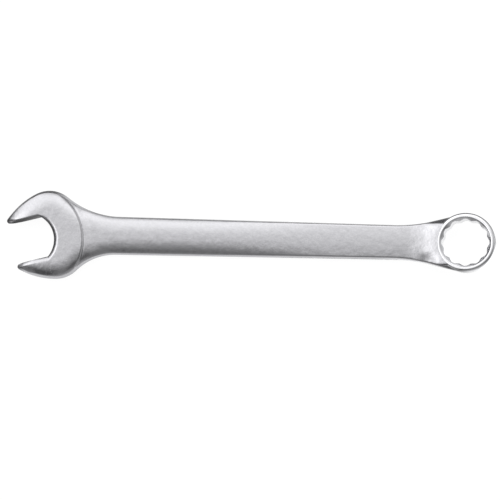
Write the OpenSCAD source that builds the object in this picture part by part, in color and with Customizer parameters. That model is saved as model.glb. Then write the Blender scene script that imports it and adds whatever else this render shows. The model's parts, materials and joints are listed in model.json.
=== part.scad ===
// Combination wrench: an open end at -X and a twelve-point box end at +X, forged in one piece.
// Each region of the forging is a solid of its own, and neighbours meet face to face.

/* [Size] */
// Nominal size across the flats of the nut, at both ends
across_flats = 19; // [17:0.5:23]
// Length from the tip of the open end to the far side of the ring
overall_length = 225; // [180:1:270]

/* [Open end] */
// Thickness of the head
head_thickness = 8.6; // [7.2:0.1:10.4]
// Angle of the jaws to the handle
jaw_angle = 15; // [12:1:18]
// Space between the nut and both jaws together
jaw_clearance = 0.2; // [0.1:0.05:0.4]
// Radius of the rounded jaw tips
tip_radius = 1.3; // [1:0.1:1.6]

/* [Handle] */
// Width of the handle next to the open end
handle_width = 17.6; // [14:0.1:21]
// How much narrower the handle is next to the box end
handle_taper = 1.5; // [0:0.1:2]
// Thickness of the handle
handle_thickness = 6.4; // [5.2:0.1:7.6]

/* [Box end] */
// Thickness of the ring
ring_thickness = 11.6; // [10.4:0.1:14]
// Wall left outside the points of the broached socket
ring_wall = 2.4; // [2:0.1:3]
// Angle that the ring is bent up from the handle
ring_tilt = 15; // [12:1:16]
// Space between the nut and the flats of the socket
socket_clearance = 0.2; // [0.1:0.05:0.4]

/* [Hidden] */

$fn = 96;
arc_step = 6;
cut = 1;
satin = [0.72, 0.73, 0.75];
bright = [0.82, 0.83, 0.85];

// Open end, in a frame with its origin at the nut's centre and +X into the throat
gap_half = (across_flats + jaw_clearance) / 2;
throat_radius = 0.637 * across_flats;
throat_start = sqrt(throat_radius * throat_radius - gap_half * gap_half);
disc_radius = 1.342 * across_flats;
head_half = 1.084 * across_flats;
crown_radius = 0.705 * across_flats;
crown = [0.592 * across_flats, head_half - crown_radius];
jaw_radius = 1.841 * across_flats;
jaw_blend = 103.7;
jaw = crown - (jaw_radius - crown_radius) * [cos(jaw_blend), sin(jaw_blend)];
tip_reach = jaw_radius - tip_radius;
tip_y = gap_half + tip_radius;
tip = [jaw.x - sqrt(tip_reach * tip_reach - (tip_y - jaw.y) * (tip_y - jaw.y)), tip_y];
jaw_end = asin((throat_start - jaw.x) / jaw_radius);
pillow_centre = 0.47 * across_flats;
pillow_core = 0.63 * across_flats;
pillow_radius = 1.19 * across_flats;

// Where the open end lies along the handle
mid_z = head_thickness / 2;
tip_left = tip_radius - tip.x * cos(jaw_angle) + tip.y * sin(jaw_angle);
seat = [tip_left - overall_length / 2, -throat_radius * sin(jaw_angle)];
function from_jaw(p) = seat + [
    p.x * cos(jaw_angle) - p.y * sin(jaw_angle),
    p.x * sin(jaw_angle) + p.y * cos(jaw_angle)
];

// Plan of the neck behind the open end: the crown of the head, then a hollow curve
upper_crown = from_jaw(crown);
lower_crown = from_jaw([crown.x, -crown.y]);
upper_hollow_radius = 2.05 * across_flats;
lower_hollow_radius = 1.33 * across_flats;
wide_half = handle_width / 2;
narrow_half = (handle_width - handle_taper) / 2;
function hollow_x(centre, rise, radius) =
    centre.x + sqrt(pow(crown_radius + radius, 2) - pow(wide_half + radius - rise, 2));
upper_hollow_x = hollow_x(upper_crown, upper_crown.y, upper_hollow_radius);
lower_hollow_x = hollow_x(lower_crown, -lower_crown.y, lower_hollow_radius);
function neck_half(x, centre, rise, radius, hollow) =
    let (touch = centre.x + (hollow - centre.x) * crown_radius / (crown_radius + radius))
    x > hollow ? wide_half
    : x > touch ? wide_half + radius - sqrt(radius * radius - pow(x - hollow, 2))
    : rise + sqrt(pow(crown_radius, 2) - pow(x - centre.x, 2));
head_neck_end = max(upper_hollow_x, lower_hollow_x);
head_neck_lead = 0.06 * across_flats;
head_neck_start = upper_crown.x + head_neck_lead;
head_neck_step = 1.5;

// Box end
socket_radius = (across_flats + socket_clearance) / 2 / cos(30);
ring_radius = across_flats / 2 / cos(30) + ring_wall;
ring_edge = 1.4;
ring_land = 0.5;
point_relief = 0.35;
socket_mouth = ring_radius - ring_edge - ring_land;
socket_points = socket_radius - point_relief;
mouth_root = socket_radius * cos(30) + socket_clearance;
ring_reach = ring_radius - ring_edge;
ring_rise = ring_thickness / 2 - ring_edge;
ring_x = overall_length / 2 - ring_reach * cos(ring_tilt) - ring_rise * sin(ring_tilt) - ring_edge;
ring_z = ring_reach * sin(ring_tilt) + ring_rise * cos(ring_tilt) + ring_edge;

// Bend of the neck up to the ring, and the flare of its plan
bend_radius = 20;
bend_x = ring_x - (ring_z - mid_z) / tan(ring_tilt);
bend_start = bend_x - bend_radius * tan(ring_tilt / 2);
bend_length = bend_radius * ring_tilt * PI / 180;
ring_along = bend_start + bend_length + norm([ring_x - bend_x, ring_z - mid_z])
    - bend_radius * tan(ring_tilt / 2);
flare_radius = 100;
neck_entry = 4;
neck_inset = 0.5;
flare_rise = sqrt(pow(ring_radius, 2) - pow(neck_entry, 2)) - neck_inset - narrow_half;
flare_run = sqrt(pow(flare_radius, 2) - pow(flare_radius - flare_rise, 2));
neck_extra = 0.9;
box_neck_end = ring_along - neck_entry;
box_neck_start = box_neck_end - flare_run;
box_neck_steps = 26;

section_power = 5;
section_step = 15;

function arc(centre, radius, from, to) =
    let (count = ceil(abs(to - from) / arc_step))
    [for (i = [0:count]) centre + radius * [
        cos(from + (to - from) * i / count),
        sin(from + (to - from) * i / count)
    ]];

// One coordinate of a rounded, slightly pillowed section
function rounded(value) = sign(value) * pow(abs(value), 2 / section_power);
function flare_half(s) =
    narrow_half + flare_radius - sqrt(pow(flare_radius, 2) - pow(s - box_neck_start, 2));

// A station of the handle: [x, z, tilt, +Y half width, -Y half width, half thickness]
function head_station(x) = [
    x,
    mid_z,
    0,
    neck_half(x, upper_crown, upper_crown.y, upper_hollow_radius, upper_hollow_x),
    neck_half(x, lower_crown, -lower_crown.y, lower_hollow_radius, lower_hollow_x),
    handle_thickness / 2
];

function box_station(s) =
    let (
        bend = min(max((s - bend_start) / bend_length, 0), 1),
        angle = bend * ring_tilt,
        past = max(s - bend_start - bend_length, 0),
        level = min(s, bend_start),
        half = handle_thickness / 2 + neck_extra * max(s - bend_start, 0) / (ring_along - bend_start)
    )
    [
        level + bend_radius * sin(angle) + past * cos(angle),
        mid_z + bend_radius * (1 - cos(angle)) + past * sin(angle),
        angle,
        flare_half(s),
        flare_half(s),
        half
    ];

// A closed bar through a list of stations
module bar(stations) {
    turns = [for (a = [0:section_step:359]) a];
    sides = len(turns);
    last = len(stations) - 1;
    points = [
        for (p = stations)
            for (a = turns)
                let (
                    y = rounded(cos(a)) * (p[3] + p[4]) / 2 + (p[3] - p[4]) / 2,
                    up = rounded(sin(a)) * p[5]
                )
                [p[0] - up * sin(p[2]), y, p[1] + up * cos(p[2])]
    ];
    walls = [
        for (i = [0:last - 1])
            for (j = [0:sides - 1])
                let (
                    a = i * sides + j,
                    b = i * sides + (j + 1) % sides
                )
                each [[a, b, b + sides], [a, b + sides, a + sides]]
    ];
    start_cap = [for (j = [sides - 1:-1:0]) j];
    end_cap = [for (j = [0:sides - 1]) last * sides + j];
    polyhedron(points, concat(walls, [start_cap, end_cap]));
}

module in_jaw_frame() {
    translate([seat.x, seat.y, 0])
        rotate([0, 0, jaw_angle])
            children();
}

// The head's pillow: a flat core on both faces, then curves that thin it toward the rim
module pillow() {
    translate([pillow_centre, 0, 0])
        rotate_extrude() {
            square([pillow_core, head_thickness]);
            intersection() {
                translate([pillow_core, pillow_radius]) circle(pillow_radius);
                translate([pillow_core, head_thickness - pillow_radius]) circle(pillow_radius);
                translate([pillow_core, 0]) square([pillow_radius, head_thickness]);
            }
        }
}

// One jaw, on the +Y side of the gap
module jaw_blank() {
    tip_turn = atan2(tip.y - jaw.y, tip.x - jaw.x);
    outline = concat(
        [[throat_start, gap_half]],
        arc(jaw, jaw_radius, 90 - jaw_end, tip_turn),
        arc(tip, tip_radius, tip_turn, 270)
    );
    intersection() {
        linear_extrude(head_thickness) polygon(outline);
        pillow();
    }
}

module upper_jaw() {
    color(satin)
        in_jaw_frame()
            jaw_blank();
}

module lower_jaw() {
    color(satin)
        in_jaw_frame()
            mirror([0, 1, 0])
                jaw_blank();
}

// Outline of the web behind the gap, in the jaw frame, between the crowns and the disc
module throat_plan() {
    half = concat(
        [[throat_start, jaw.y + sqrt(pow(jaw_radius, 2) - pow(throat_start - jaw.x, 2))]],
        arc(crown, crown_radius, jaw_blend - arc_step, 0),
        [[disc_radius + cut, crown.y]]
    );
    other_half = [for (i = [len(half) - 1:-1:0]) [half[i].x, -half[i].y]];
    intersection() {
        polygon(concat(half, other_half));
        circle(disc_radius);
    }
}

module jaw_throat() {
    color(satin)
        in_jaw_frame()
            difference() {
                intersection() {
                    linear_extrude(head_thickness) throat_plan();
                    pillow();
                }
                translate([0, 0, -cut]) cylinder(h = head_thickness + 2 * cut, r = throat_radius);
            }
}

module head_neck() {
    count = ceil((head_neck_end - head_neck_start) / head_neck_step);
    color(satin)
        difference() {
            bar([
                for (i = [0:count])
                    head_station(head_neck_start + (head_neck_end - head_neck_start) * i / count)
            ]);
            translate([seat.x, seat.y, -cut]) cylinder(h = head_thickness + 2 * cut, r = disc_radius);
        }
}

module shank() {
    color(satin)
        bar([head_station(head_neck_end), box_station(box_neck_start)]);
}

module ring_frame() {
    translate([ring_x, 0, ring_z])
        rotate([0, -ring_tilt, 0])
            children();
}

module box_neck() {
    color(satin)
        difference() {
            bar([
                for (i = [0:box_neck_steps])
                    box_station(box_neck_start + (box_neck_end - box_neck_start) * i / box_neck_steps)
            ]);
            ring_frame()
                cylinder(h = 2 * ring_thickness, r = ring_radius, center = true);
        }
}

// Two crossed hexagons give the twelve points
module socket_plan() {
    for (turn = [0, 30])
        rotate(turn) circle(socket_radius, $fn = 6);
}

module box_ring() {
    half = ring_thickness / 2;
    mouth_depth = socket_mouth - mouth_root;
    dish = (pow(socket_mouth, 2) - pow(mouth_root, 2) - pow(mouth_depth, 2)) / 2 / mouth_depth;
    profile = concat(
        [[0, -half]],
        arc([ring_reach, -ring_rise], ring_edge, 270, 360),
        arc([ring_reach, ring_rise], ring_edge, 0, 90),
        [[0, half]]
    );
    color(bright)
        ring_frame()
            difference() {
                rotate_extrude() polygon(profile);
                intersection() {
                    linear_extrude(2 * ring_thickness, center = true) socket_plan();
                    cylinder(h = 3 * ring_thickness, r = socket_points, center = true);
                }
                for (side = [-1, 1])
                    translate([0, 0, side * (half + dish)])
                        sphere(norm([socket_mouth, dish]));
            }
}

upper_jaw();
lower_jaw();
jaw_throat();
head_neck();
shank();
box_neck();
box_ring();
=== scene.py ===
"""Combination wrench: the finished look of one satin chrome forging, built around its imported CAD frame."""

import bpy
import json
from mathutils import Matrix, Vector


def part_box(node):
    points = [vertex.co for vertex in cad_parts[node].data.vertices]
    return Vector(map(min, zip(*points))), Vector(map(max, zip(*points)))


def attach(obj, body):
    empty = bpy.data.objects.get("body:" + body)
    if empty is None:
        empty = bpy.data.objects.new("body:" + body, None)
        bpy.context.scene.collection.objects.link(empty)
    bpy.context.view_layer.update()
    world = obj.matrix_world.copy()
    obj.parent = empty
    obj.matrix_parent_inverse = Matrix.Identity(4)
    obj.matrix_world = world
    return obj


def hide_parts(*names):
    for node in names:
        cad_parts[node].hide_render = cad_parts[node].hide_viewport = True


bl_info = {
    "name": "Combination wrench",
    "version": (1, 0, 0),
    "blender": (4, 5, 0),
    "location": "3D View > Sidebar > Wrench",
    "description": "Builds the finished look of a combination wrench around its CAD frame",
    "category": "Add Mesh",
}

import json
import math

import bmesh
import bpy
from mathutils import Euler, Vector

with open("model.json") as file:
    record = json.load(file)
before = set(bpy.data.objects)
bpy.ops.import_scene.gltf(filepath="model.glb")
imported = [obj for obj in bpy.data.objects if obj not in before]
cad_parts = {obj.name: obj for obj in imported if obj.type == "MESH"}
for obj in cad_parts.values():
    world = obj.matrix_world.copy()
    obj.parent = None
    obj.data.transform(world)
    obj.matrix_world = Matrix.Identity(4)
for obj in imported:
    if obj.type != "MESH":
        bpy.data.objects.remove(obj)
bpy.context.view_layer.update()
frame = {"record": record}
MOUNTS = {mount["name"]: mount for mount in frame["record"]["mounts"]}

MM = 0.001
AXIS_X = 0
AXIS_Z = 2

# Plan of the open end, as shares of the size across flats: the throat, the round back step, the
# crown of a jaw (its radius, its place and how far out it reaches), the long arc from there to the
# tip, and the hollow behind the head, by side. The crown meets the long arc at JAW_BLEND.
THROAT_SHARE = 0.637
DISC_SHARE = 1.342
CROWN_SHARE = 0.705
CROWN_BACK_SHARE = 0.592
CROWN_OUT_SHARE = 1.084
JAW_SHARE = 1.841
HOLLOW_SHARES = {1: 2.05, -1: 1.33}
JAW_BLEND = math.radians(103.7)

# Millimetres: radii of the jaws' tips and of the flare before the ring in plan, and how far inside
# the ring's rounded edge its chamfered mouth starts
TIP_RADIUS = 1.3
FLARE_RADIUS = 75
MOUTH_INSET = 0.5

# The rounded step behind the head: widths of its shoulder, foot and apron in millimetres, shares of
# the step's height that are left at its middle and on the apron, and the powers of the curves
SHOULDER = 0.9
SHOULDER_POWER = 2.2
STEP_MIDDLE = 0.5
STEP_FOOT = 0.9
STEP_FOOT_POWER = 3
APRON = 0.34
APRON_REACH = 2.9
APRON_POWER = 1.2

# The crown of the faces: how far in from the rim it rises, and its power. The far one also drops by a
# share from the middle to the rim, and takes over along a span of X. Widths and span in millimetres.
CROWN_WIDTH = 8.6
CROWN_POWER = 2.2
FAR_CROWN_WIDTH = 1.5
FAR_CROWN_POWER = 2.6
FAR_CROWN_DROP = 0.17
FAR_CROWN_SPAN = (-35, 45)

# The steep bevel along the rim, in millimetres: its widths, how far behind the nut's centre the
# head's width holds, and how far from a tip's centre the tip's width has gone over into it
HEAD_BEVEL = 0.95
HANDLE_BEVEL = 0.6
TIP_BEVEL = 0.35
HEAD_BEVEL_REACH = 22
TIP_REACH = 9

# The neck before the ring, in millimetres: half width of its top by side, its flanks (whose slope is
# a ratio) with the place past the bend's start where they are complete, its rim, and the height of
# its underside at the ring
NECK_TOP_HALF = {1: 8.4, -1: 10.4}
FLANK_SLOPE = 1.3
FLANK_SOFTNESS = 0.5
FLANK_REACH = 4
NECK_RIM = 0.9
UNDER_RING = 0.15
BEND_STEPS = 64

# The dimple: depth as a share of the half thickness, and in millimetres its place past the bend's
# start, its reach along the wrench and how far to the side it sets in and is full
DIMPLE = 0.11
DIMPLE_PLACE = 5.5
DIMPLE_REACH = 7
DIMPLE_SIDE = (3.5, 9)

# Painted dark reflection on the inner edges and the jaws' noses: its attribute, its share of the chrome's
# colour, how dark each point is painted from the inner wall outwards, and the sections it takes and fades
# over at a nose
PAINTED_DARK = "painted_dark_reflection"
PAINTED_DARK_SHADE = 0.22
PAINTED_DARK_EDGE = (0.82, 1, 0.8, 0.3)
PAINTED_DARK_NOSE = 20
PAINTED_DARK_FADE = 6

# Meshes: welding distance in metres, least width in millimetres to divide by, and the sharp angle
WELD = 0.4e-6
LEAST_WIDTH = 0.4e-6
SHARP_ANGLE = math.radians(32)

# The camera: the place it looks at, its distance from there and the width it sees there, in metres,
# and how far it leans towards the front and turns in its own plane
VIEW_AIM = (-0.1 * MM, -5.12 * MM, 4.3 * MM)
VIEW_DISTANCE = 0.5
VIEW_SPAN = 0.2302
VIEW_LEAN = math.radians(4.5)
VIEW_TURN = math.radians(1.367)


# ---------------------------------------------------------------- sizes


def node_thickness(node):
    """Height of a node of the frame in millimetres."""
    low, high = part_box(node)
    return (high[AXIS_Z] - low[AXIS_Z]) / MM


def node_ends(node):
    """Lowest and highest X of a node of the frame in millimetres."""
    return [corner[AXIS_X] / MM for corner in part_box(node)]


def length(name, description, default):
    return bpy.props.FloatProperty(
        name=name, description=description, default=default, min=0, unit="LENGTH", subtype="DISTANCE"
    )


def amount(name, description, default):
    return bpy.props.FloatProperty(name=name, description=description, default=default, min=0)


def finish_colour(name, description, default):
    return bpy.props.FloatVectorProperty(
        name=name, description=description, default=default, size=3, min=0, max=1, subtype="COLOR"
    )


class WrenchSizes(bpy.types.PropertyGroup):
    """Sizes of the forging that a maker would change."""

    across_flats: length("Across flats", "Size of the nut that both ends fit", 19 * MM)
    throat_chamfer: length("Throat edge", "Width of the rolled edge round the throat", 2.2 * MM)
    upper_chamfer: length("Upper jaw edge", "Width of the rolled edge along the upper jaw's flat", 0.8 * MM)
    lower_chamfer: length("Lower jaw edge", "Width of the rolled edge along the lower jaw's flat", 1.9 * MM)
    handle_width: length("Handle width", "Width of the handle next to the open end", 17.6 * MM)
    handle_taper: length("Handle taper", "How much narrower the handle is next to the ring", 1.5 * MM)
    ring_edge: length("Ring edge", "Radius of the ring's outer edges", 1.4 * MM)
    ring_wall: length("Ring wall", "Metal outside the points of the socket", 2.4 * MM)
    bend_length: length("Bend length", "Length of the handle that the bend below the ring takes", 12 * MM)


class WrenchFinish(bpy.types.PropertyGroup):
    """Colours and surface of the chrome."""

    satin: finish_colour("Satin chrome", "Colour of the satin chrome", (0.53, 0.528, 0.548))
    bright: finish_colour("Bright chrome", "Colour of the polished edges", (0.72, 0.72, 0.74))
    satin_roughness: amount("Satin roughness", "Roughness of the satin faces", 0.24)
    bright_roughness: amount("Bright roughness", "Roughness of the polished edges", 0.16)


# ---------------------------------------------------------------- outline of the forging, in millimetres


def polar(radius, angle):
    return Vector((radius * math.cos(angle), radius * math.sin(angle)))


def mix(a, b, share):
    return a + (b - a) * share


def smooth_step(value, low, high):
    share = min(max((value - low) / (high - low), 0), 1)
    return share * share * (3 - 2 * share)


def smoother_step(value, low, high):
    """A step whose curve also starts and ends level, so that a gloss shows no line there."""
    share = min(max((value - low) / (high - low), 0), 1)
    return share**3 * (share * (6 * share - 15) + 10)


class Arc:
    """A stretch of an outline that runs round a centre from one angle up to a larger one."""

    def __init__(self, centre, radius, start, end):
        self.centre, self.radius, self.start, self.end = centre, radius, start, end

    def distance(self, place):
        off = place - self.centre
        if (math.atan2(off.y, off.x) - self.start) % math.tau <= self.end - self.start:
            return abs(off.length - self.radius)
        return min((off - polar(self.radius, turn)).length for turn in (self.start, self.end))

    def height(self, x, sign):
        """How far the arc lies out from the handle's middle, at an X that it spans."""
        rise = math.sqrt(max(self.radius**2 - (x - self.centre.x) ** 2, 0))
        out = sign * self.centre.y
        middle = (self.start + self.end) / 2
        return out + rise if sign * math.sin(middle) > 0 else out - rise

    def last_x(self):
        return max(self.centre.x + self.radius * math.cos(turn) for turn in (self.start, self.end))


class Line:
    """A straight stretch of an outline."""

    def __init__(self, start, end):
        self.start, self.along = start, end - start

    def distance(self, place):
        off = place - self.start
        share = min(max(off.dot(self.along) / self.along.length_squared, 0), 1)
        return (off - self.along * share).length

    def height(self, x, sign):
        return sign * (self.start.y + self.along.y * (x - self.start.x) / self.along.x)

    def last_x(self):
        return self.start.x + self.along.x


class Forging:
    """Plan, thickness and bend of the whole wrench, worked out from the frame and the sizes."""

    def __init__(self, sizes):
        flats = sizes.across_flats / MM
        flat_mounts = (MOUNTS["upper_jaw_flat"], MOUNTS["lower_jaw_flat"])
        upper, lower = (Vector(mount["pos_m"]) / MM for mount in flat_mounts)
        across = upper - lower
        self.jaw_turn = math.atan2(-across.x, across.y)
        self.gap_half = across.length / 2
        self.throat_radius = THROAT_SHARE * flats
        self.throat_start = math.sqrt(self.throat_radius**2 - self.gap_half**2)
        self.disc_radius = DISC_SHARE * flats
        self.throat_chamfer = sizes.throat_chamfer / MM
        self.jaw_chamfer = {1: sizes.upper_chamfer / MM, -1: sizes.lower_chamfer / MM}

        self.crown_radius = CROWN_SHARE * flats
        self.crown = Vector((CROWN_BACK_SHARE * flats, CROWN_OUT_SHARE * flats - self.crown_radius))
        self.jaw_radius = JAW_SHARE * flats
        self.jaw = self.crown - polar(self.jaw_radius - self.crown_radius, JAW_BLEND)
        tip_y = self.gap_half + TIP_RADIUS
        reach = self.jaw_radius - TIP_RADIUS
        self.tip = Vector((self.jaw.x - math.sqrt(reach**2 - (tip_y - self.jaw.y) ** 2), tip_y))
        to_tip = self.tip - self.jaw
        self.tip_turn = math.atan2(to_tip.y, to_tip.x)

        middle = (upper + lower) / 2
        flat_middle = (self.tip.x + self.throat_start) / 2
        self.seat = middle.xy - polar(flat_middle, self.jaw_turn)
        self.tips = [self.on_jaw(self.tip, sign) for sign in (1, -1)]

        self.head_half = node_thickness("jaw_throat") / 2
        self.handle_half = node_thickness("shank") / 2
        self.mid_z = self.head_half
        self.handle_start, self.handle_end = node_ends("shank")
        self.wide_half = sizes.handle_width / MM / 2
        self.narrow_half = self.wide_half - sizes.handle_taper / MM / 2

        socket = MOUNTS["box_socket"]
        self.ring_centre = Vector(socket["pos_m"]) / MM
        self.ring_axis = Vector(socket["axis"])
        self.tilt = math.atan2(-self.ring_axis.x, self.ring_axis.z)
        self.ring_half = socket["dims"]["length_mm"] / 2
        self.socket_inner = socket["dims"]["r_mm"]
        self.ring_edge = sizes.ring_edge / MM
        self.ring_radius = flats / 2 / math.cos(math.pi / 6) + sizes.ring_wall / MM
        self.mouth = self.ring_radius - self.ring_edge - MOUTH_INSET

        self.bend_length = sizes.bend_length / MM
        self.bend = [Vector((0, 0))]
        for i in range(BEND_STEPS):
            turn = self.tilt * smoother_step(i + 0.5, 0, BEND_STEPS)
            self.bend.append(self.bend[-1] + polar(self.bend_length / BEND_STEPS, turn))
        rise = self.ring_centre.z - self.mid_z
        bend_x = self.ring_centre.x - rise / math.tan(self.tilt)
        tangent = self.bend[-1].y / math.sin(self.tilt)
        self.bend_start = bend_x - tangent
        self.ring_along = self.bend_start + self.bend_length + rise / math.sin(self.tilt) - tangent
        self.sides = {sign: self.side(sign, share * flats) for sign, share in HOLLOW_SHARES.items()}
        self.rim = [stretch for side in self.sides.values() for stretch in side]

    def from_jaw(self, place):
        """A place round the nut's centre, in the jaws' own directions, as one of the whole plan."""
        turned = polar(place.x, self.jaw_turn) + polar(place.y, self.jaw_turn + math.pi / 2)
        return self.seat + turned

    def on_jaw(self, place, sign):
        """A place on the upper jaw (1), or the one opposite on the lower jaw (-1), in the whole plan."""
        return self.from_jaw(Vector((place.x, sign * place.y)))

    def side(self, sign, hollow_radius):
        """The outline of one side, from its jaw tip to where its flare touches the ring."""

        def jaw_arc(centre, radius, start, end):
            low, high = sorted((sign * start, sign * end))
            return Arc(self.on_jaw(centre, sign), radius, low + self.jaw_turn, high + self.jaw_turn)

        crown = self.on_jaw(self.crown, sign)
        hollow_y = sign * (self.wide_half + hollow_radius)
        gap = math.sqrt((self.crown_radius + hollow_radius) ** 2 - (hollow_y - crown.y) ** 2)
        hollow = Vector((crown.x + gap, hollow_y))
        away = hollow - crown
        touch = sign * (math.atan2(away.y, away.x) - self.jaw_turn)
        back = math.atan2(-away.y, -away.x) % math.tau
        foot = -sign * math.pi / 2 % math.tau
        towards_gap = math.radians(270)

        flare = Vector((self.handle_end, sign * (self.narrow_half + FLARE_RADIUS)))
        ring = Vector((self.ring_along, 0))
        to_flare = flare - ring
        lean = math.acos((FLARE_RADIUS + self.ring_radius) / to_flare.length)
        normal = math.atan2(to_flare.y, to_flare.x) - sign * lean
        # The direction from the ring to where the flare touches it, the same on both sides
        self.flare_turn = abs(normal)
        touch_flare = flare - polar(FLARE_RADIUS, normal)
        touch_ring = ring + polar(self.ring_radius, normal)
        return [
            jaw_arc(self.tip, TIP_RADIUS, self.tip_turn, towards_gap),
            jaw_arc(self.jaw, self.jaw_radius, JAW_BLEND, self.tip_turn),
            jaw_arc(self.crown, self.crown_radius, touch, JAW_BLEND),
            Arc(hollow, hollow_radius, *sorted((foot, back))),
            Line(Vector((hollow.x, sign * self.wide_half)), Vector((flare.x, sign * self.narrow_half))),
            Arc(flare, FLARE_RADIUS, *sorted((foot, (normal + math.pi) % math.tau))),
            Line(touch_flare, touch_ring),
        ]

    def edge(self, x, sign):
        """How far the outline lies out from the handle's middle on one side, behind the jaws."""
        for stretch in self.sides[sign][2:-1]:
            if x <= stretch.last_x():
                return stretch.height(x, sign)
        return self.sides[sign][-1].height(x, sign)

    def rim_distance(self, place):
        return min(stretch.distance(place) for stretch in self.rim)

    def level(self, place):
        """Half thickness before the rim is rounded: head, step, handle, and the rise to the ring."""
        reach = (place - self.seat).length
        step = self.head_half - self.handle_half
        past = reach - self.disc_radius
        if reach < self.disc_radius - SHOULDER:
            head = step
        elif reach < self.disc_radius:
            head = step * (1 - (1 - STEP_MIDDLE) * ((past + SHOULDER) / SHOULDER) ** SHOULDER_POWER)
        elif reach < self.disc_radius + STEP_FOOT:
            head = step * mix(APRON, STEP_MIDDLE, (1 - past / STEP_FOOT) ** STEP_FOOT_POWER)
        else:
            out = (past - STEP_FOOT) / APRON_REACH
            head = step * APRON * max(1 - out, 0) ** APRON_POWER
        to_ring = self.ring_along - self.handle_end
        away = (place - Vector((self.ring_along, 0))).length
        rise = smoother_step(to_ring - away, 0, to_ring - self.ring_radius + self.ring_edge)
        return mix(self.handle_half + head, self.ring_half, rise)

    def under_level(self, place):
        """Half thickness under the middle, where the underside runs straight on to the ring."""
        if place.x < self.handle_end:
            return self.level(place)
        angle, _, height = self.middle(place.x)
        share = smooth_step(place.x, self.handle_end, self.ring_along - self.ring_radius)
        floor = mix(self.mid_z - self.handle_half, UNDER_RING, share)
        return min((height - floor) / math.cos(angle), self.ring_half)

    def crowned(self, place, rim):
        """Share of the half thickness over a place on the crowned face or on its steep bevel."""
        bevel_end = self.seat.x + HEAD_BEVEL_REACH
        bevel = mix(HEAD_BEVEL, HANDLE_BEVEL, smooth_step(place.x, bevel_end, self.handle_start))
        from_tip = min((place - tip).length for tip in self.tips)
        bevel = mix(TIP_BEVEL, bevel, smooth_step(from_tip, TIP_RADIUS, TIP_REACH))
        near, far = (
            (1 - max(1 - max(rim, bevel) / width, 0) ** power) ** (1 / power)
            for width, power in ((CROWN_WIDTH, CROWN_POWER), (FAR_CROWN_WIDTH, FAR_CROWN_POWER))
        )
        far *= 1 - FAR_CROWN_DROP * max(1 - rim / self.narrow_half, 0) ** 2
        return mix(near, far, smooth_step(place.x, *FAR_CROWN_SPAN)) * min(rim / bevel, 1)

    def profile(self, place):
        """Share of the half thickness over a place: the crowned face, or before the ring the neck."""
        rim = self.rim_distance(place)
        crowned = self.crowned(place, rim)
        to_ring = smooth_step(place.x, self.handle_end, self.bend_start + FLANK_REACH)
        if to_ring == 0:
            return crowned
        side = 1 if place.y > 0 else -1
        flank = self.edge(place.x, side) - NECK_TOP_HALF[side] - rim
        drop = FLANK_SLOPE * (flank + math.hypot(flank, FLANK_SOFTNESS)) / 2
        rounded = math.sqrt(1 - max(1 - rim / NECK_RIM, 0) ** 2)
        neck = mix(crowned, (1 - drop / self.ring_half) * rounded, to_ring)
        off = min(abs(place.x - self.bend_start - DIMPLE_PLACE) / DIMPLE_REACH, 1)
        return neck - DIMPLE * (1 - smoother_step(off, 0, 1)) * smooth_step(-place.y, *DIMPLE_SIDE)

    def middle(self, along):
        """Slope, X and height of the middle of the wrench at an X of the straightened plan."""
        past = max(along - self.bend_start, 0)
        angle = self.tilt * smoother_step(past, 0, self.bend_length)
        share = min(past / self.bend_length, 1) * BEND_STEPS
        step = min(int(share), BEND_STEPS - 1)
        bent = self.bend[step].lerp(self.bend[step + 1], share - step)
        bent += polar(max(past - self.bend_length, 0), angle)
        return angle, min(along, self.bend_start) + bent.x, self.mid_z + bent.y

    def bent(self, place, up):
        """A place in the straightened plan, and a height over its middle, as a point of the real wrench."""
        angle, x, height = self.middle(place.x)
        return Vector((x - up * math.sin(angle), place.y, height + up * math.cos(angle))) * MM

    def section(self, places, drops):
        """A closed loop over the top of a row of places and back under them."""
        shares = [self.profile(place) for place in places]

        def heights(level):
            return [max(level(p) * share - drop, 0) for p, share, drop in zip(places, shares, drops)]

        over = [self.bent(place, height) for place, height in zip(places, heights(self.level))]
        under = [self.bent(place, -height) for place, height in zip(places, heights(self.under_level))]
        return over + under[::-1]


# ---------------------------------------------------------------- mesh building


def cap(bm, loop):
    """Close a loop that runs over and back with a strip of faces between its two halves."""
    half = len(loop) // 2
    over, under = loop[:half], loop[half:][::-1]
    for i in range(half - 1):
        bm.faces.new((over[i], over[i + 1], under[i + 1], under[i]))


def mark_painted_dark(loop, painted_dark, edge, all_over):
    """Mark how dark a loop's colour is painted as a dark reflection: by the shares given from its two ends
    inwards, or all over.
    """
    for i, vert in enumerate(loop):
        inwards = min(i, len(loop) - 1 - i)
        vert[painted_dark] = max(all_over, edge[inwards] if inwards < len(edge) else 0)


def loft(name, stations, capped=True, painted_dark_edge=(), painted_dark_end=0):
    """Skin a piece over closed loops, by extruding the last loop and moving it to the next station.

    The colour is marked to be painted dark, as a dark reflection, by the shares given, from where each loop
    closes inwards, and all over the last few stations.
    """
    bm = bmesh.new()
    painted_dark = bm.verts.layers.float.new(PAINTED_DARK)
    loop = [bm.verts.new(point) for point in stations[0]]
    first = loop
    rim = [bm.edges.new((a, b)) for a, b in zip(loop, loop[1:] + loop[:1])]
    mark_painted_dark(loop, painted_dark, painted_dark_edge, 0)
    for i, points in enumerate(stations[1:], 1):
        grown = bmesh.ops.extrude_edge_only(bm, edges=rim)["geom"]
        fresh = {item for item in grown if isinstance(item, bmesh.types.BMVert)}
        loop = [next(e.other_vert(v) for e in v.link_edges if e.other_vert(v) in fresh) for v in loop]
        rim = [bm.edges.get(pair) for pair in zip(loop, loop[1:] + loop[:1])]
        for vert, point in zip(loop, points):
            vert.co = point
        mark_painted_dark(loop, painted_dark, painted_dark_edge, min(max(i - len(stations) + painted_dark_end, 0) / PAINTED_DARK_FADE, 1))
    if capped:
        cap(bm, first)
        cap(bm, loop)
    return finished(name, bm)


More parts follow.
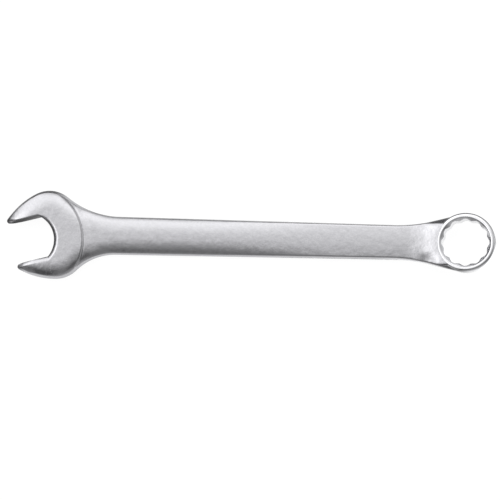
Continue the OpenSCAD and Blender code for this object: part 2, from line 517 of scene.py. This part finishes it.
def finished(name, bm):
    """Weld a bmesh, turn it outwards, shade it and put it in the scene."""
    bmesh.ops.remove_doubles(bm, verts=bm.verts, dist=WELD)
    bmesh.ops.dissolve_degenerate(bm, edges=bm.edges, dist=WELD)
    bmesh.ops.recalc_face_normals(bm, faces=bm.faces)
    mesh = bpy.data.meshes.new(name)
    bm.to_mesh(mesh)
    bm.free()
    mesh.shade_smooth()
    mesh.set_sharp_from_angle(angle=SHARP_ANGLE)
    piece = bpy.data.objects.new(name, mesh)
    bpy.context.scene.collection.objects.link(piece)
    return piece


def place_on_wrench(piece, node, material):
    piece.data.materials.append(material)
    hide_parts(node)
    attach(piece, "root")


# ---------------------------------------------------------------- the open end

# Points across a section: along its curve, and at shares of the rim's bevel and of the rolled edge
SECTION_STEPS = 26
RIM_STEPS = (0, 0.5, 0.92, 1.08, 1.5)
CHAMFER_STEPS = (0, 0.06, 0.15, 0.28, 0.42, 0.56, 0.7, 0.85, 1)

# A narrow section gives a third of its width to the rolled edge, and a sixth to the rim's bevel
CHAMFER_PART = 3
RIM_PART = 6

# Depth of the rolled edge against its width, and how far round the throat it widens, in radians
CHAMFER_DEPTH = 0.52
CHAMFER_SPREAD = 0.6

# Sections along a jaw's flat, round its nose, and beside each end of the back step
FLAT_STEPS = 40
NOSE_STEPS = 14
CORNER_STEPS = 16


def across_head(forging, inner, outer, chamfer):
    """One section of the head, from its machined inner wall out to its rim."""
    across = outer - inner
    width = across.length
    bevel = min(chamfer, width / CHAMFER_PART)
    rim = [min(HEAD_BEVEL, width / RIM_PART) * step for step in RIM_STEPS]
    reach = [bevel * step for step in CHAMFER_STEPS]
    turns = [math.pi / 2 * i / SECTION_STEPS for i in range(1, SECTION_STEPS)]
    reach += [bevel + (width - rim[-1] - bevel) * math.sin(turn) for turn in turns]
    reach += [width - step for step in rim[::-1]]
    places = [inner + across * (r / max(width, LEAST_WIDTH)) for r in reach]
    drops = [CHAMFER_DEPTH * bevel * max(1 - r / max(bevel, LEAST_WIDTH), 0) ** 2 for r in reach]
    return forging.section(places, drops)


def outer_edge(forging, along):
    """Height of a jaw's outer edge over the middle of the gap, in the jaw's own frame."""
    touch = forging.tip + polar(TIP_RADIUS, forging.tip_turn)
    centre, radius = forging.jaw, forging.jaw_radius
    if along < touch.x:
        centre, radius = forging.tip, TIP_RADIUS
    return centre.y + math.sqrt(max(radius**2 - (along - centre.x) ** 2, 0))


def jaw_sections(forging, sign):
    """Sections along a jaw, from the throat to the tip."""
    alongs = [mix(forging.throat_start, forging.tip.x, i / FLAT_STEPS) for i in range(FLAT_STEPS + 1)]
    turns = [math.pi / 2 * i / NOSE_STEPS for i in range(1, NOSE_STEPS + 1)]
    alongs += [forging.tip.x - TIP_RADIUS * math.sin(turn) for turn in turns]
    sections = []
    for along in alongs:
        past = min(along - forging.tip.x, 0)
        inner_y = forging.tip.y - math.sqrt(max(TIP_RADIUS**2 - past**2, 0))
        ends = (inner_y, max(outer_edge(forging, along), inner_y))
        inner, outer = (forging.on_jaw(Vector((along, y)), sign) for y in ends)
        share = smooth_step(forging.throat_start - along, 0, forging.gap_half)
        corner = forging.jaw_chamfer[1] if sign > 0 else forging.throat_chamfer
        chamfer = mix(corner, forging.jaw_chamfer[sign], share)
        sections.append(across_head(forging, inner, outer, chamfer))
    return sections


def web_reach(forging, turn):
    """How far it is from the nut's centre to the head's rim, in a direction beside the back step."""
    way = polar(1, turn)
    blend = forging.crown + polar(forging.crown_radius, JAW_BLEND)
    centre, radius = forging.crown, forging.crown_radius
    if turn > math.atan2(blend.y, blend.x):
        centre, radius = forging.jaw, forging.jaw_radius
    along = centre.dot(way)
    return along + math.sqrt(along**2 - centre.length_squared + radius**2)


def web_sections(forging):
    """Sections round the throat, from the lower jaw to the upper one."""
    start = Vector((forging.throat_start, outer_edge(forging, forging.throat_start)))
    outer_turn = math.atan2(start.y, start.x)
    inner_turn = math.atan2(forging.gap_half, forging.throat_start)
    disc_turns = [
        math.atan2(p.y - forging.seat.y, p.x - forging.seat.x) - forging.jaw_turn
        for p in step_curve(forging, forging.disc_radius)
    ]
    low, high = disc_turns[0], disc_turns[-1]
    shares = [i / CORNER_STEPS for i in range(CORNER_STEPS + 1)]
    turns = [mix(-outer_turn, low, share) for share in shares[:-1]]
    turns += disc_turns
    turns += [mix(high, outer_turn, share) for share in shares[1:]]
    sections = []
    for turn in turns:
        on_disc = low <= turn <= high
        reach = forging.disc_radius if on_disc else web_reach(forging, abs(turn))
        inner = polar(forging.throat_radius, turn * inner_turn / outer_turn)
        places = (forging.from_jaw(inner), forging.from_jaw(polar(reach, turn)))
        round_throat = smooth_step(outer_turn - turn, 0, CHAMFER_SPREAD)
        chamfer = mix(forging.jaw_chamfer[1], forging.throat_chamfer, round_throat)
        sections.append(across_head(forging, *places, chamfer))
    return sections


# ---------------------------------------------------------------- the handle

# Points across a section between its bevels, and halvings of the search for its rim. A search round
# the nut's centre stops some millimetres inside the head's round back.
HANDLE_STEPS = 48
EDGE_HALVINGS = 40
SEARCH_INSET = 5

# Sections over the apron, which lie closer at its start and end a little past it, along the rest of
# each neck, along the straight handle, and round the ring from a distance in millimetres
APRON_STEPS = 30
APRON_SPREAD = 1.5
APRON_MARGIN = 0.3
NECK_STEPS = 60
SHANK_STEPS = 50
ROUND_RING_STEPS = 40
ROUND_RING_REACH = 7


def spread(low, high):
    """Values from low to high, closest together at both ends and set to the bevels there."""
    rim = [HANDLE_BEVEL * step for step in RIM_STEPS]
    shares = [(1 - math.cos(math.pi * i / HANDLE_STEPS)) / 2 for i in range(1, HANDLE_STEPS)]
    inner = [mix(low + rim[-1], high - rim[-1], share) for share in shares]
    return [low + step for step in rim] + inner + [high - step for step in rim[::-1]]


def across_handle(forging, curve, far):
    """Places along a curve across the handle, from rim to rim."""
    ends = []
    for sign in (-1, 1):
        inside, outside = 0, far
        for _ in range(EDGE_HALVINGS):
            out = (inside + outside) / 2
            if out < forging.edge(curve(sign * out), sign):
                inside = out
            else:
                outside = out
        ends.append(sign * inside)
    return [Vector((curve(y), y)) for y in spread(*ends)]


def step_curve(forging, reach, straight=0, share=0):
    """Places round the nut's centre, on a curve that flattens into a line across the handle."""

    def curve(y):
        arc = forging.seat.x + math.sqrt(max(reach**2 - (y - forging.seat.y) ** 2, 0))
        return mix(arc, straight, share)

    return across_handle(forging, curve, forging.disc_radius - SEARCH_INSET)


def ring_curve(forging, reach, straight=0, share=1):
    """Places round the ring's centre, on a curve that starts as a line across the handle."""

    def curve(y):
        arc = forging.ring_along - math.sqrt(max(reach**2 - y**2, 0))
        return mix(straight, arc, share)

    return across_handle(forging, curve, forging.ring_radius)


def plain_sections(forging, rows):
    """Sections over rows of places that have no rolled edge."""
    return [forging.section(row, [0] * len(row)) for row in rows]


def neck_sections(forging):
    """Sections from the back of the head to the straight handle."""
    foot = forging.disc_radius + STEP_FOOT + APRON_REACH + APRON_MARGIN
    shares = [(i / APRON_STEPS) ** APRON_SPREAD for i in range(APRON_STEPS + 1)]
    rows = [step_curve(forging, mix(forging.disc_radius, foot, share)) for share in shares]
    start = forging.seat.x + foot
    for i in range(1, NECK_STEPS + 1):
        straight = mix(start, forging.handle_start, i / NECK_STEPS)
        share = smooth_step(i / NECK_STEPS, 0, 1)
        rows.append(step_curve(forging, straight - forging.seat.x, straight, share))
    return plain_sections(forging, rows)


def shank_sections(forging):
    """Straight sections from one end of the handle to the other."""
    xs = [mix(forging.handle_start, forging.handle_end, i / SHANK_STEPS) for i in range(SHANK_STEPS + 1)]
    return plain_sections(forging, [step_curve(forging, 0, straight=x, share=1) for x in xs])


def ring_neck_sections(forging):
    """Sections from the straight handle over the bend and onto the ring."""
    reach = forging.ring_radius + ROUND_RING_REACH
    rows = []
    for i in range(NECK_STEPS + 1):
        straight = mix(forging.handle_end, forging.ring_along - reach, i / NECK_STEPS)
        share = smooth_step(i / NECK_STEPS, 0, 1)
        rows.append(ring_curve(forging, forging.ring_along - straight, straight, share))
    ring = Vector((forging.ring_along, 0))
    tangent = forging.ring_radius * math.sin(forging.flare_turn)
    turns = [math.asin(y / forging.ring_radius) for y in spread(-tangent, tangent)]
    for i in range(1, ROUND_RING_STEPS + 1):
        radius = mix(reach, forging.ring_radius - forging.ring_edge, i / ROUND_RING_STEPS)
        if radius > forging.ring_radius:
            rows.append(ring_curve(forging, radius))
        else:
            rows.append([ring + polar(radius, math.pi - turn) for turn in turns])
    return plain_sections(forging, rows)


# ---------------------------------------------------------------- the ring

# Points round the ring, loops over its outer edge, and shares of its half height where the outside
# and the socket's wall have loops
STAR_STEPS = 288
RING_EDGE_STEPS = 12
BARREL_SHARES = (0.66, 0.33)
WALL_SHARES = (-1, -0.5, 0, 0.5, 1)

# Millimetres: how soft the mouth's edge is, with loops at shares of that outwards and down, how much
# the star's points are eased, and how far from the star its chamfer has its inner loops
MOUTH_SOFTNESS = 0.12
MOUTH_LOOPS = ((-1, 0.9), (0, 0.3), (1, 0))
POINT_EASE = 0.38
CHAMFER_INNER = 0.1


def star_radius(forging, turn):
    """Radius of the twelve-point socket, two crossed hexagons with their points eased."""
    sixth = math.pi / 3
    reaches = []
    for offset in (0, sixth / 2):
        off = (turn - offset) % sixth
        reaches.append(forging.socket_inner / math.cos(off - sixth / 2))
    point = forging.socket_inner / math.cos(sixth / 2) - POINT_EASE
    return min(max(reaches), point)


def ring_loops(forging):
    """Loops round the ring, as (radius, height), from the upper mouth out and back under."""
    half, edge, outer = forging.ring_half, forging.ring_edge, forging.ring_radius
    top = [
        (forging.mouth + MOUTH_SOFTNESS * out, half - MOUTH_SOFTNESS * down)
        for out, down in MOUTH_LOOPS
    ]
    for i in range(RING_EDGE_STEPS + 1):
        turn = math.pi / 2 * (1 - i / RING_EDGE_STEPS)
        top.append((outer - edge + edge * math.cos(turn), half - edge + edge * math.sin(turn)))
    top += [(outer, (half - edge) * share) for share in BARREL_SHARES]
    return top + [(outer, 0)] + [(r, -z) for r, z in reversed(top)]


def box_ring_piece(forging):
    """The ring, skinned round its axis: over its outside, then back up through the star."""
    side = Vector((0, 1, 0))
    along = side.cross(forging.ring_axis)
    turns = [math.tau * i / STAR_STEPS for i in range(STAR_STEPS)]

    def point(radius, turn, height):
        flat = along * (radius * math.cos(turn)) + side * (radius * math.sin(turn))
        return (forging.ring_centre + flat + forging.ring_axis * height) * MM

    def loop(radii, heights):
        return [point(r, t, h) for r, t, h in zip(radii, turns, heights)]

    outside = [loop([r] * STAR_STEPS, [z] * STAR_STEPS) for r, z in ring_loops(forging)]
    star = [star_radius(forging, turn) for turn in turns]
    edge_height = [forging.ring_half - (forging.mouth - r) for r in star]
    wall = [loop(star, [h * share for h in edge_height]) for share in WALL_SHARES]
    wide_star = [r + CHAMFER_INNER for r in star]
    chamfer_low = loop(wide_star, [-h - CHAMFER_INNER for h in edge_height])
    chamfer_high = loop(wide_star, [h + CHAMFER_INNER for h in edge_height])
    stations = outside + [chamfer_low] + wall + [chamfer_high] + outside[:1]
    return loft("box_ring_look", stations, capped=False)


# ---------------------------------------------------------------- materials

WHITE = (1, 1, 1, 1)

# The noises in the plate: their sizes in millimetres, the middle of their range, the shares of the
# colour that they move it between, and how far they move the roughness
GRAIN_SIZE = 0.35
CLOUD_SIZE = 2.2
WAVE_SIZE = 3.2
SPECK_SIZE = 0.8
NOISE_MIDDLE = 0.5
DARKER = 0.86
LIGHTER = 1.14
ROUGHNESS_SPREAD = 0.10

# Heights of the grain and of the waves in millimetres, and of the cloud as a multiple of the grain
SATIN_RELIEF = (0.0022, 0.13)
BRIGHT_RELIEF = (0.0010, 0.010)
CLOUD_RELIEF = 2


class Value:
    """A shader socket that can be used in Python expressions."""

    def __init__(self, graph, socket):
        self.graph, self.socket = graph, socket

    def combine(self, operation, other, swap=False):
        inputs = (other, self) if swap else (self, other)
        return self.graph.node("ShaderNodeMath", {"operation": operation}, {0: inputs[0], 1: inputs[1]})

    def __add__(self, other):
        return self.combine("ADD", other)

    __radd__ = __add__

    def __sub__(self, other):
        return self.combine("SUBTRACT", other)

    def __rsub__(self, other):
        return self.combine("SUBTRACT", other, swap=True)

    def __mul__(self, other):
        return self.combine("MULTIPLY", other)

    __rmul__ = __mul__


class Graph:
    """The node tree of a material or a world, with a method that adds any node and some shorthands."""

    def __init__(self, owner):
        self.owner = owner
        owner.use_nodes = True
        self.tree = owner.node_tree
        self.tree.nodes.clear()

    def node(self, kind, settings=None, inputs=None, output=0):
        made = self.tree.nodes.new(kind)
        for key, value in (settings or {}).items():
            setattr(made, key, value)
        for key, value in (inputs or {}).items():
            if isinstance(value, Value):
                self.tree.links.new(value.socket, made.inputs[key])
            else:
                made.inputs[key].default_value = value
        return Value(self, made.outputs[output]) if made.outputs else None

    def ramp(self, value, stops, reach):
        """A number that follows (place, level) stops, for places from -reach to reach."""
        made = self.tree.nodes.new("ShaderNodeValToRGB")
        ramp = made.color_ramp
        ramp.interpolation = "LINEAR"
        top = max(level for _, level in stops)
        while len(ramp.elements) < len(stops):
            ramp.elements.new(0.5)
        for element, (place, level) in zip(ramp.elements, stops):
            element.position = (place / reach + 1) / 2
            element.color = (level / top, level / top, level / top, 1)
        share = value * (0.5 / reach) + 0.5
        self.tree.links.new(share.socket, made.inputs[0])
        return Value(self, made.outputs[0]) * top

    def plan(self, output):
        """The X and the Y of a texture coordinate."""
        coords = self.node("ShaderNodeTexCoord", output=output)
        return [self.node("ShaderNodeSeparateXYZ", None, {0: coords}, output=axis) for axis in "XY"]

    def patch(self, places, tables, reach):
        """A number that follows the product of two tables of stops, along the wrench and across it."""
        along, across = (self.ramp(place, table, reach) for place, table in zip(places, tables))
        return along * across

    def noise(self, size, detail=3, roughness=0.55):
        """Noise of about a size in millimetres."""
        coords = self.node("ShaderNodeTexCoord", output="Object")
        return self.node(
            "ShaderNodeTexNoise",
            None,
            {"Vector": coords, "Scale": 1 / (size * MM), "Detail": detail, "Roughness": roughness},
        )

    def colour(self, factor, first, second):
        first, second = (c if isinstance(c, Value) else (*c, 1) for c in (first, second))
        return self.node("ShaderNodeMix", {"data_type": "RGBA"}, {0: factor, 6: first, 7: second}, output=2)


def chrome(name, colour, roughness, relief):
    """Plated steel: fine blasted grain, faint forging waves and a little cloudiness in the plate."""
    grain, waves = relief
    graph = Graph(bpy.data.materials.new(name))
    fine = graph.noise(GRAIN_SIZE, detail=2)
    cloud = graph.noise(CLOUD_SIZE)
    wave = graph.noise(WAVE_SIZE, detail=2, roughness=0.5)
    speck = graph.noise(SPECK_SIZE, detail=1)
    shade = (cloud + speck) * 0.5
    tint = graph.colour(shade, [c * DARKER for c in colour], [min(c * LIGHTER, 1) for c in colour])
    # Painted dark reflection: the colour goes dark where the attribute marks the inner edges and the jaws'
    # noses
    painted_dark = graph.node("ShaderNodeAttribute", {"attribute_name": PAINTED_DARK}, output="Fac")
    tint = graph.colour(painted_dark, tint, [c * PAINTED_DARK_SHADE for c in colour])
    uneven = (cloud - NOISE_MIDDLE) * ROUGHNESS_SPREAD + (fine - NOISE_MIDDLE) * ROUGHNESS_SPREAD
    height = fine * grain + cloud * (CLOUD_RELIEF * grain) + wave * waves
    bump = graph.node("ShaderNodeBump", None, {"Strength": 1.0, "Distance": MM, "Height": height})
    shader = graph.node(
        "ShaderNodeBsdfPrincipled",
        None,
        {"Base Color": tint, "Metallic": 1.0, "Roughness": uneven + roughness, "Normal": bump},
    )
    graph.node("ShaderNodeOutputMaterial", None, {"Surface": shader})
    return graph.owner


def finishes():
    """The satin and the bright chrome, made the first time that they are asked for."""
    look = bpy.context.scene.wrench_finish
    recipes = (
        ("satin_chrome_look", look.satin, look.satin_roughness, SATIN_RELIEF),
        ("bright_chrome_look", look.bright, look.bright_roughness, BRIGHT_RELIEF),
    )
    return [bpy.data.materials.get(recipe[0]) or chrome(*recipe) for recipe in recipes]


# ---------------------------------------------------------------- stage

# Every table in this section is a row of (place, level) stops with straight lines between them.
# Brightness of the light tent against the X (_ALONG) and the Y (_ACROSS) of a direction
TENT_ALONG = (
    (-1.00, 0.10), (-0.84, 0.30), (-0.72, 0.90), (-0.55, 1.00), (0.00, 1.00), (0.10, 1.08),
    (0.22, 1.12), (0.34, 0.68), (0.50, 0.48), (0.84, 0.48), (1.00, 1.00),
)
TENT_ACROSS = (
    (-1.00, 0.50), (-0.86, 0.30), (-0.70, 0.26), (-0.52, 0.28), (-0.38, 0.32), (-0.26, 0.43),
    (-0.16, 0.58), (-0.08, 0.78), (0.00, 0.90), (0.12, 1.02), (0.28, 1.22), (0.45, 1.50),
    (0.65, 1.65), (0.80, 1.60), (0.92, 1.20), (1.00, 0.85),
)

# Share of the tent that is dark, where the lower rims reflect it
TENT_SHADE_ALONG = (
    (-1.00, 0.00), (-0.44, 0.00), (-0.36, 0.90), (-0.25, 0.90), (-0.10, 0.00), (0.10, 0.00),
    (0.25, 0.75), (0.42, 0.75), (0.52, 0.00), (1.00, 0.00),
)
TENT_SHADE_ACROSS = (
    (-1.00, 0.00), (-0.94, 0.00), (-0.86, 1.00), (-0.55, 1.00), (-0.40, 0.00), (1.00, 0.00),
)

# Brightness added on top: on the left, low on the right, and in the corner beside that
TENT_LEFT_ALONG = (
    (-1.00, 0.00), (-0.86, 0.00), (-0.76, 1.00), (-0.62, 1.40), (-0.50, 1.20), (-0.37, 0.45),
    (-0.24, 0.00), (1.00, 0.00),
)
TENT_LEFT_ACROSS = (
    (-1.00, 0.00), (-0.50, 0.00), (-0.18, 1.00), (0.24, 1.00), (0.45, 0.10), (1.00, 0.00),
)
TENT_RIGHT_ALONG = (
    (-1.00, 0.00), (0.10, 0.00), (0.40, 0.42), (1.00, 0.42),
)
TENT_RIGHT_ACROSS = (
    (-1.00, 1.00), (-0.75, 1.00), (-0.55, 0.00), (1.00, 0.00),
)
TENT_CORNER_ALONG = (
    (-1.00, 0.00), (0.70, 0.00), (0.84, 0.26), (1.00, 0.26),
)
TENT_CORNER_ACROSS = (
    (-1.00, 0.00), (-0.72, 0.00), (-0.58, 1.00), (-0.30, 1.00), (-0.15, 0.00), (1.00, 0.00),
)
TENT = (TENT_ALONG, TENT_ACROSS)
TENT_SHADE = (TENT_SHADE_ALONG, TENT_SHADE_ACROSS)
TENT_GAINS = (
    (TENT_LEFT_ALONG, TENT_LEFT_ACROSS),
    (TENT_RIGHT_ALONG, TENT_RIGHT_ACROSS),
    (TENT_CORNER_ALONG, TENT_CORNER_ACROSS),
)
TENT_REACH = 1

# Brightness of the floor in reflections, in metres along the wrench and across it
FLOOR_ACROSS = (
    (-0.30, 0.45), (-0.10, 0.60), (-0.06, 0.85), (-0.036, 0.95), (-0.010, 0.95), (-0.003, 0.60),
    (0.001, 0.15), (0.0065, 0.15), (0.0085, 0.95), (0.0125, 0.85), (0.0155, 0.35), (0.022, 0.25),
    (0.035, 0.12), (0.30, 0.06),
)

# Share of it that is dark, in front of the neck before the ring
NECK_SHADE_ALONG = (
    (-0.30, 0.00), (0.068, 0.00), (0.078, 1.00), (0.092, 1.00), (0.104, 0.00), (0.30, 0.00),
)
NECK_SHADE_ACROSS = (
    (-0.30, 0.00), (-0.10, 0.00), (-0.07, 0.85), (-0.016, 0.85), (-0.010, 0.00), (0.30, 0.00),
)

# Brightness added to it: under the ring, and behind the head
UNDER_RING_ALONG = (
    (-0.30, 0.00), (0.06, 0.00), (0.08, 0.80), (0.12, 0.80), (0.13, 0.00), (0.30, 0.00),
)
UNDER_RING_ACROSS = (
    (-0.30, 0.00), (-0.014, 0.00), (-0.010, 1.00), (0.0065, 1.00), (0.009, 0.00), (0.30, 0.00),
)
BEHIND_HEAD_ALONG = (
    (-0.30, 0.00), (-0.090, 0.00), (-0.083, 1.00), (-0.068, 1.00), (-0.060, 0.00), (0.30, 0.00),
)
BEHIND_HEAD_ACROSS = (
    (-0.30, 0.00), (0.016, 0.00), (0.020, 0.70), (0.045, 0.70), (0.060, 0.00), (0.30, 0.00),
)
FLOOR_SHADE = (NECK_SHADE_ALONG, NECK_SHADE_ACROSS)
FLOOR_GAINS = (
    (UNDER_RING_ALONG, UNDER_RING_ACROSS),
    (BEHIND_HEAD_ALONG, BEHIND_HEAD_ACROSS),
)
FLOOR_REACH = 0.3

# The floor as the camera sees it: its size in metres, its paint, its glow and the glow's share
FLOOR_SIZE = 6
FLOOR_PAINT = (0.9, 0.9, 0.9, 1)
FLOOR_GLOW = 1.08
FLOOR_GLOW_SHARE = 0.88


def set_camera(scene):
    """A camera that looks almost straight down on the whole wrench."""
    camera = bpy.data.objects.new("camera", bpy.data.cameras.new("camera"))
    scene.collection.objects.link(camera)
    turn = Euler((VIEW_LEAN, 0, VIEW_TURN), "XYZ")
    camera.rotation_euler = turn
    camera.location = Vector(VIEW_AIM) + turn.to_matrix() @ Vector((0, 0, VIEW_DISTANCE))
    camera.data.lens = camera.data.sensor_width * VIEW_DISTANCE / VIEW_SPAN
    scene.camera = camera


def lay_floor():
    """A pale floor that glows for the camera, and shows in reflections as its tables say."""
    bpy.ops.mesh.primitive_plane_add(size=FLOOR_SIZE)
    floor = bpy.context.active_object
    floor.name = "floor"
    graph = Graph(bpy.data.materials.new("floor_paint"))
    paint = graph.node("ShaderNodeBsdfDiffuse", None, {"Color": FLOOR_PAINT})
    places = graph.plan("Object")
    reflected = graph.ramp(places[1], FLOOR_ACROSS, FLOOR_REACH)
    for tables in FLOOR_GAINS:
        reflected = reflected + graph.patch(places, tables, FLOOR_REACH)
    reflected = reflected * (1 - graph.patch(places, FLOOR_SHADE, FLOOR_REACH))
    seen = graph.node("ShaderNodeLightPath", output="Is Camera Ray")
    glossy = graph.node("ShaderNodeLightPath", output="Is Glossy Ray")
    strength = seen * FLOOR_GLOW + glossy * reflected
    glow = graph.node("ShaderNodeEmission", None, {"Color": WHITE, "Strength": strength})
    share = seen * FLOOR_GLOW_SHARE + glossy
    mixed = graph.node("ShaderNodeMixShader", None, {0: share, 1: paint, 2: glow})
    graph.node("ShaderNodeOutputMaterial", None, {"Surface": mixed})
    floor.data.materials.append(graph.owner)


def light_tent(scene):
    """A light tent round the wrench, plain white where the camera sees it."""
    scene.world = bpy.data.worlds.new("studio")
    sky = Graph(scene.world)
    places = sky.plan("Generated")
    tent = sky.patch(places, TENT, TENT_REACH)
    tent = tent * (1 - sky.patch(places, TENT_SHADE, TENT_REACH))
    for tables in TENT_GAINS:
        tent = tent + sky.patch(places, tables, TENT_REACH)
    seen = sky.node("ShaderNodeLightPath", output="Is Camera Ray")
    glow = tent * (1 - seen) + seen
    light = sky.node("ShaderNodeBackground", None, {"Color": glow, "Strength": 1.0})
    sky.node("ShaderNodeOutputWorld", None, {"Surface": light})


# ---------------------------------------------------------------- operators


class WRENCH_OT_open_end(bpy.types.Operator):
    """Build both jaws and the web behind them"""

    bl_idname = "wrench.open_end"
    bl_label = "Open end"

    def execute(self, context):
        forging = Forging(context.scene.wrench_sizes)
        satin, _ = finishes()
        jaws = [jaw_sections(forging, sign) for sign in (1, -1)]
        # The throat's edge, the upper jaw's inner edge and both noses take a painted dark reflection
        upper = loft("upper_jaw_look", jaws[0], painted_dark_edge=PAINTED_DARK_EDGE, painted_dark_end=PAINTED_DARK_NOSE)
        lower = loft("lower_jaw_look", jaws[1], painted_dark_end=PAINTED_DARK_NOSE)
        web = loft("jaw_throat_look", web_sections(forging), painted_dark_edge=PAINTED_DARK_EDGE)
        for piece, node in ((upper, "upper_jaw"), (lower, "lower_jaw"), (web, "jaw_throat")):
            place_on_wrench(piece, node, satin)
        return {"FINISHED"}


class WRENCH_OT_handle(bpy.types.Operator):
    """Build the handle with its two necks"""

    bl_idname = "wrench.handle"
    bl_label = "Handle"

    def execute(self, context):
        forging = Forging(context.scene.wrench_sizes)
        satin, _ = finishes()
        parts = {
            "head_neck": neck_sections(forging),
            "shank": shank_sections(forging),
            "box_neck": ring_neck_sections(forging),
        }
        for node, sections in parts.items():
            place_on_wrench(loft(node + "_look", sections), node, satin)
        return {"FINISHED"}


class WRENCH_OT_box_end(bpy.types.Operator):
    """Build the ring with its twelve-point socket"""

    bl_idname = "wrench.box_end"
    bl_label = "Box end"

    def execute(self, context):
        forging = Forging(context.scene.wrench_sizes)
        _, bright = finishes()
        place_on_wrench(box_ring_piece(forging), "box_ring", bright)
        return {"FINISHED"}


class WRENCH_OT_stage(bpy.types.Operator):
    """Set up the pale floor, the soft light and the camera"""

    bl_idname = "wrench.stage"
    bl_label = "Stage"

    def execute(self, context):
        context.scene.view_settings.view_transform = "Standard"
        set_camera(context.scene)
        lay_floor()
        light_tent(context.scene)
        return {"FINISHED"}


class WRENCH_PT_panel(bpy.types.Panel):
    """Lists the wrench's sizes, finishes and build steps"""

    bl_label = "Combination wrench"
    bl_idname = "WRENCH_PT_panel"
    bl_space_type = "VIEW_3D"
    bl_region_type = "UI"
    bl_category = "Wrench"

    def draw(self, context):
        for group in (context.scene.wrench_sizes, context.scene.wrench_finish):
            for key in group.__annotations__:
                self.layout.prop(group, key)
        for step in STEPS:
            self.layout.operator(step.bl_idname)


STEPS = (WRENCH_OT_stage, WRENCH_OT_open_end, WRENCH_OT_handle, WRENCH_OT_box_end)
CLASSES = (WrenchSizes, WrenchFinish, *STEPS, WRENCH_PT_panel)


def register():
    for cls in CLASSES:
        bpy.utils.register_class(cls)
    bpy.types.Scene.wrench_sizes = bpy.props.PointerProperty(type=WrenchSizes)
    bpy.types.Scene.wrench_finish = bpy.props.PointerProperty(type=WrenchFinish)


def unregister():
    del bpy.types.Scene.wrench_finish
    del bpy.types.Scene.wrench_sizes
    for cls in reversed(CLASSES):
        bpy.utils.unregister_class(cls)


def main():
    register()
    for step in STEPS:
        group, name = step.bl_idname.split(".")
        getattr(getattr(bpy.ops, group), name)()


if __name__ == "__main__":
    main()
